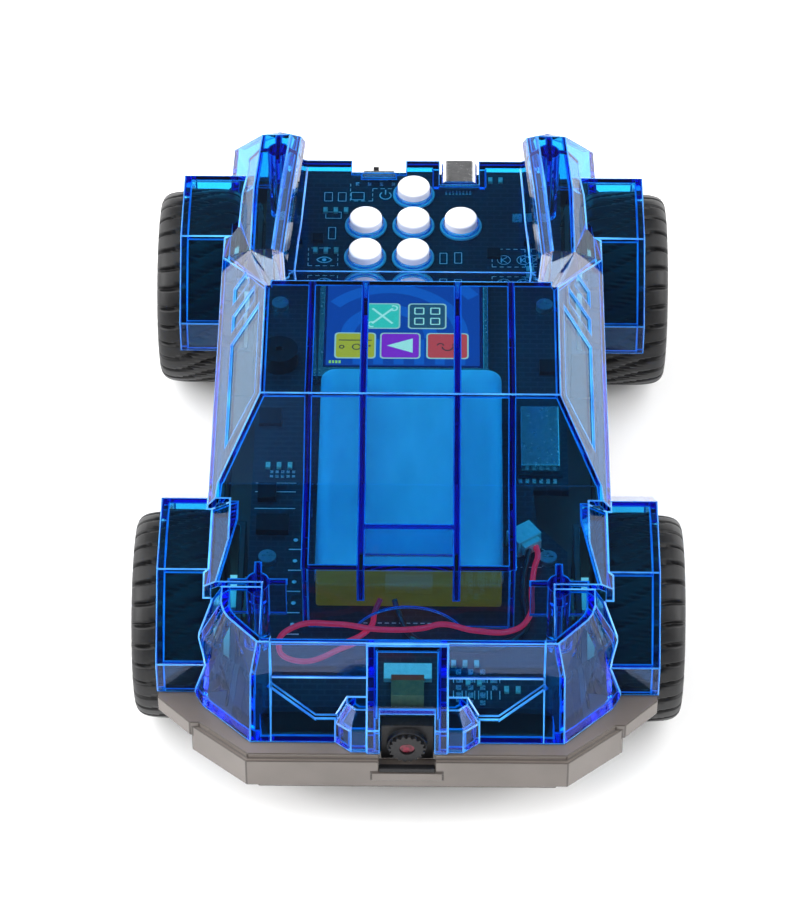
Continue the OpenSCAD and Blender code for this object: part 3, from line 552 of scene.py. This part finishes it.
def board_print():
    """White marks: dashed boxes, outlines of parts, small signs and a row of dots."""
    ink = Sheet(BOARD_TOP + 0.01, 0.03)
    fine, bold = 0.18, 0.3
    ink.dashes([(-3.4, 83.4), (-3.4, 81), (-9.6, 81), (-9.6, 76.6), (-14.8, 76.6), (-14.8, 83.4)], fine)
    ink.arc((-6.6, 78.6), 1.3, 130, 410, bold)
    ink.line((-6.6, 78.9), (-6.6, 80.6), bold)
    for x0, x1 in ((-24.1, -17.3), (18.2, 25.8)):
        ink.dashes(frame_of(x0, 53.9, x1, 60), fine)
    ink.arc((-20.4, 54.9), 2.0, 30, 150, bold, 10)
    ink.arc((-20.4, 57.0), 2.0, 210, 330, bold, 10)
    ink.dot((-20.4, 55.95), 0.5)
    for x in (20.9, 25.4):
        ink.arc((x, 56.3), 1.5, 0, 360, fine)
        ink.line((x - 0.6, 57.2), (x - 0.6, 55.4), bold)
        ink.line((x - 0.5, 56.3), (x + 0.7, 57.2), fine)
        ink.line((x - 0.5, 56.3), (x + 0.7, 55.4), fine)
    for x, y, w, h in PART_OUTLINES:
        ink.outline(frame_of(x, y, x + w, y + h), fine)
    ink.dashes([(-9.5, -58.2), (9.2, -58.2)], fine, 0.9, 0.6)
    for y in (-16.3, -19.4, -24.5):
        ink.line((-33.6, y), (-24.8, y), fine)
    ink.dashes([(22.6, -32.4), (30.6, -37.6), (28.2, -41.6), (22.8, -41.6)], fine)
    ink.arc((28.4, -8.5), 4.2, 0, 180, fine)
    for row in range(2):
        for k in range(4):
            x, y = 10.4 + 2.6 * k, -73.2 - 4.6 * row
            ink.line((x - 0.9, y - 1.2), (x - 0.9, y + 1.2), fine)
            ink.line((x + 0.9, y - 1.2), (x + 0.9, y + 1.2), fine)
    for k in range(5):
        ink.dot((-24.4, -34 - 6.2 * k), 0.5)
        ink.line((-25.8, -36.8 - 6.2 * k), (-23.0, -36.8 - 6.2 * k), bold)
    ink.make("board_print", MATERIALS["ink"])


def board_pads():
    """Bare soldered pads, in rows."""
    pads = Sheet(BOARD_TOP + 0.005, 0.06)
    for side in (-1, 1):
        pads.box(side * 27.4 - 4.4, 69.4, side * 27.4 - 2.2, 72.4)
        pads.box(side * 27.4 - 1.4, 69.4, side * 27.4 + 1.0, 72.4)
    for k in range(8):
        pads.box(7.4 + 0.8 * k, 79.0, 7.8 + 0.8 * k, 80.4)
    for k in range(6):
        pads.box(23.6 + 1.5 * k, -15.8, 24.4 + 1.5 * k, -14.4)
    for row, y in enumerate((-71.4, -74.4, -78.6)):
        for k in range(3 + row % 2):
            pads.box(10 + 2.5 * k, y, 11.1 + 2.5 * k, y + 1.5)
            pads.box(10 + 2.5 * k, y - 2, 11.1 + 2.5 * k, y - 0.7)
    for y in (-14.6, -13.2):
        for k in range(5):
            pads.box(-30.6 + 1.2 * k, y, -29.9 + 1.2 * k, y + 0.8)
    for k in range(4):
        pads.box(-13.6 + 2.8 * k, 82.0, -12.8 + 2.8 * k, 83.2)
    pads.make("board_pads", MATERIALS["solder"])


board_print()
board_pads()


# ---- what the screen shows ----

def rounded(x0, y0, x1, y1, r, steps=4):
    """The outline of a box with round corners."""
    corners = ((x1 - r, y0 + r, -90), (x1 - r, y1 - r, 0), (x0 + r, y1 - r, 90), (x0 + r, y0 + r, 180))
    return [spot((cx, cy), r, start + 90 * k / steps) for cx, cy, start in corners for k in range(steps + 1)]


LAYER_STEP = 0.006         # mm
LAYER_THICK = 0.005


class Screen:
    """Stacks flat lit shapes of one colour each, a hair above the glass."""

    def __init__(self):
        self.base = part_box("display_glass")[1].z / MM
        self.level = 0

    def layer(self, name, light, draw):
        self.level += 1
        sheet = Sheet(self.base + LAYER_STEP * self.level, LAYER_THICK)
        draw(sheet)
        sheet.make("screen_" + name, glowing("screen_" + name, light))


SCREEN = (-19.2, 18.0, 15.2, 45.6)
BAND_STEP = 6              # degrees


def bands(sheet):
    """Wide curved stripes across the picture."""
    x0, y0, x1, y1 = SCREEN
    centre = (x0 + 14, y0 + 9)
    for inner in range(8, 30, 7):
        outer = inner + 3
        for a in range(0, 180, BAND_STEP):
            b = a + BAND_STEP
            quad = [spot(centre, inner, a), spot(centre, outer, a), spot(centre, outer, b),
                    spot(centre, inner, b)]
            if all(x0 <= x <= x1 and y0 <= y <= y1 for x, y in quad):
                sheet.shape(quad)
    for k in range(6):
        sheet.box(x0 + 6 + 4.6 * k, y0 + 0.4, x0 + 8.2 + 4.6 * k, y0 + 8.6)


# box, and the light that it gives off; the blue shell takes up much of the red
TILES = {
    "tools": ((-10.2, 30.4, -3.0, 38.2), (0.22, 0.80, 0.50)),
    "modes": ((-0.6, 30.4, 7.4, 38.2), (0.10, 0.10, 0.13)),
    "amber": ((-17.0, 20.6, -8.4, 28.4), (2.4, 0.62, 0.03)),
    "play": ((-6.8, 20.6, 1.6, 28.4), (1.35, 0.03, 0.60)),
    "red": ((3.6, 20.6, 12.4, 28.4), (3.2, 0.09, 0.08)),
}


def tile_rims(sheet):
    for (x0, y0, x1, y1), _ in TILES.values():
        sheet.shape(rounded(x0 - 0.35, y0 - 0.35, x1 + 0.35, y1 + 0.35, 0.9))


def white_signs(sheet):
    sheet.line((-9, 31.8), (-4.4, 36.8), 0.55)
    sheet.line((-9, 36.8), (-4.4, 31.8), 0.55)
    sheet.arc((-4.2, 36.9), 0.8, -120, 120, 0.4)
    sheet.arc((-9.1, 31.5), 0.8, 60, 300, 0.4)
    for x in (0.6, 4.2):
        for y in (31.6, 35.0):
            sheet.outline(frame_of(x, y, x + 2, y + 2), 0.28)
    sheet.shape([(-5.6, 24.5), (0.2, 22.2), (0.2, 26.9)])


def dark_signs(sheet):
    sheet.line((-16.4, 26.2), (-9.0, 26.2), 0.3)
    sheet.arc((-15.7, 24.0), 0.5, 0, 360, 0.3, 12)
    sheet.arc((-12.4, 24.0), 0.9, 20, 340, 0.3, 12)
    sheet.line((-11.5, 24.0), (-9.2, 24.4), 0.5)
    sheet.arc((8.0, 24.2), 1.2, 180, 360, 0.35, 12)
    sheet.arc((6.4, 24.6), 0.7, 0, 180, 0.3, 10)
    sheet.arc((9.8, 24.6), 0.7, 0, 180, 0.3, 10)


def battery_mark(sheet):
    for k in range(4):
        sheet.box(-18.5 + 0.72 * k, 18.6, -18.0 + 0.72 * k, 19.5)


screen = Screen()
screen.layer("picture", (0.01, 0.07, 0.34), lambda sheet: sheet.box(*SCREEN))
screen.layer("bands", (0.02, 0.14, 0.52), bands)
screen.layer("rims", (2.0, 0.85, 0.62), tile_rims)
for tile, (box, light) in TILES.items():
    screen.layer("tile_" + tile, light, lambda sheet, box=box: sheet.shape(rounded(*box, 0.7)))
screen.layer("white_signs", (2.4, 1.2, 0.84), white_signs)
screen.layer("dark_signs", (0.10, 0.04, 0.03), dark_signs)
screen.layer("battery_mark", (1.6, 0.9, 0.15), battery_mark)


# ---- floor, light and camera ----

FLOOR_HALF = 6.0           # m
FLOOR_DROP = 0.0002        # m below the tyres


def floor():
    """White paper under the car."""
    data = bpy.data.meshes.new("floor")
    corners = ((-1, -1), (1, -1), (1, 1), (-1, 1))
    data.from_pydata([(x * FLOOR_HALF, y * FLOOR_HALF, -FLOOR_DROP) for x, y in corners], [], [(0, 1, 2, 3)])
    mat, _, shader, _ = new_material("floor_paper")
    shader.inputs["Base Color"].default_value = (0.93, 0.93, 0.93, 1)
    shader.inputs["Roughness"].default_value = 0.9
    shader.inputs["Specular IOR Level"].default_value = 0.1
    data.materials.append(mat)
    obj = bpy.data.objects.new("floor", data)
    bpy.context.scene.collection.objects.link(obj)


DIM = 0.16
# direction, cosine of the patch's edge and of its full part, brightness: the two big boxes, the lamps
# that the head lights mirror, the one that the slope above the bumper mirrors, and two walls behind
SOFT_BOXES = [
    ((-0.75, -0.05, 0.65), 0.60, 0.84, 3.3),
    ((0.78, -0.05, 0.62), 0.62, 0.86, 2.5),
    ((-0.86, -0.235, 0.454), 0.955, 0.985, 6.0),
    ((0.86, -0.235, 0.454), 0.955, 0.985, 6.0),
    ((0.0, -0.79, 0.61), 0.9925, 0.9976, 2.2),
    ((-0.68, 0.72, 0.05), 0.82, 0.95, 1.8),
    ((0.68, 0.72, 0.05), 0.82, 0.95, 1.8),
]


def sky():
    """Studio walls: a dim room with a big soft box on each side, so that what faces up mirrors the dark."""
    world = bpy.data.worlds.new("studio")
    bpy.context.scene.world = world
    world.use_nodes = True
    tree = world.node_tree
    back = tree.nodes["Background"]
    place = tree.nodes.new("ShaderNodeTexCoord")

    def patch(direction, edge, full, bright):
        dot = tree.nodes.new("ShaderNodeVectorMath")
        dot.operation = "DOT_PRODUCT"
        dot.inputs[1].default_value = Vector(direction).normalized()
        tree.links.new(place.outputs["Generated"], dot.inputs[0])
        step = tree.nodes.new("ShaderNodeMapRange")
        step.interpolation_type = "SMOOTHSTEP"
        step.inputs["From Min"].default_value = edge
        step.inputs["From Max"].default_value = full
        step.inputs["To Max"].default_value = bright
        tree.links.new(dot.outputs["Value"], step.inputs["Value"])
        return step.outputs["Result"]

    def add(a, b):
        node = tree.nodes.new("ShaderNodeMath")
        tree.links.new(a, node.inputs[0])
        tree.links.new(b, node.inputs[1])
        return node.outputs["Value"]

    room = tree.nodes.new("ShaderNodeValue")
    room.outputs["Value"].default_value = DIM
    total = room.outputs["Value"]
    for box in SOFT_BOXES:
        total = add(total, patch(*box))
    tree.links.new(total, back.inputs["Strength"])
    back.inputs["Color"].default_value = (1.0, 1.0, 1.0, 1)


CAMERA_AIM = (-2.35, -4.0, 25.6)
CAMERA_DISTANCE = 921.0
CAMERA_LENS = 165.2
CAMERA_SENSOR = 36
CAMERA_HEIGHT_ANGLE = math.radians(44.5)
CAMERA_TURN = math.radians(0.6)


def camera():
    """Long lens, from the front and above."""
    data = bpy.data.cameras.new("camera")
    data.sensor_fit = "VERTICAL"
    data.sensor_height = CAMERA_SENSOR
    data.lens = CAMERA_LENS
    obj = bpy.data.objects.new("camera", data)
    e, a = CAMERA_HEIGHT_ANGLE, CAMERA_TURN
    ahead = Vector((-math.sin(a) * math.cos(e), math.cos(a) * math.cos(e), -math.sin(e)))
    obj.location = (Vector(CAMERA_AIM) - CAMERA_DISTANCE * ahead) * MM
    obj.rotation_euler = ahead.to_track_quat("-Z", "Y").to_euler()
    bpy.context.scene.collection.objects.link(obj)
    bpy.context.scene.camera = obj


floor()
sky()
camera()

scene = bpy.context.scene
scene.view_settings.view_transform = "Standard"
scene.cycles.max_bounces = 24
scene.cycles.transmission_bounces = 24
scene.cycles.glossy_bounces = 8
scene.cycles.diffuse_bounces = 3
scene.cycles.transparent_max_bounces = 16
scene.cycles.sample_clamp_indirect = 8
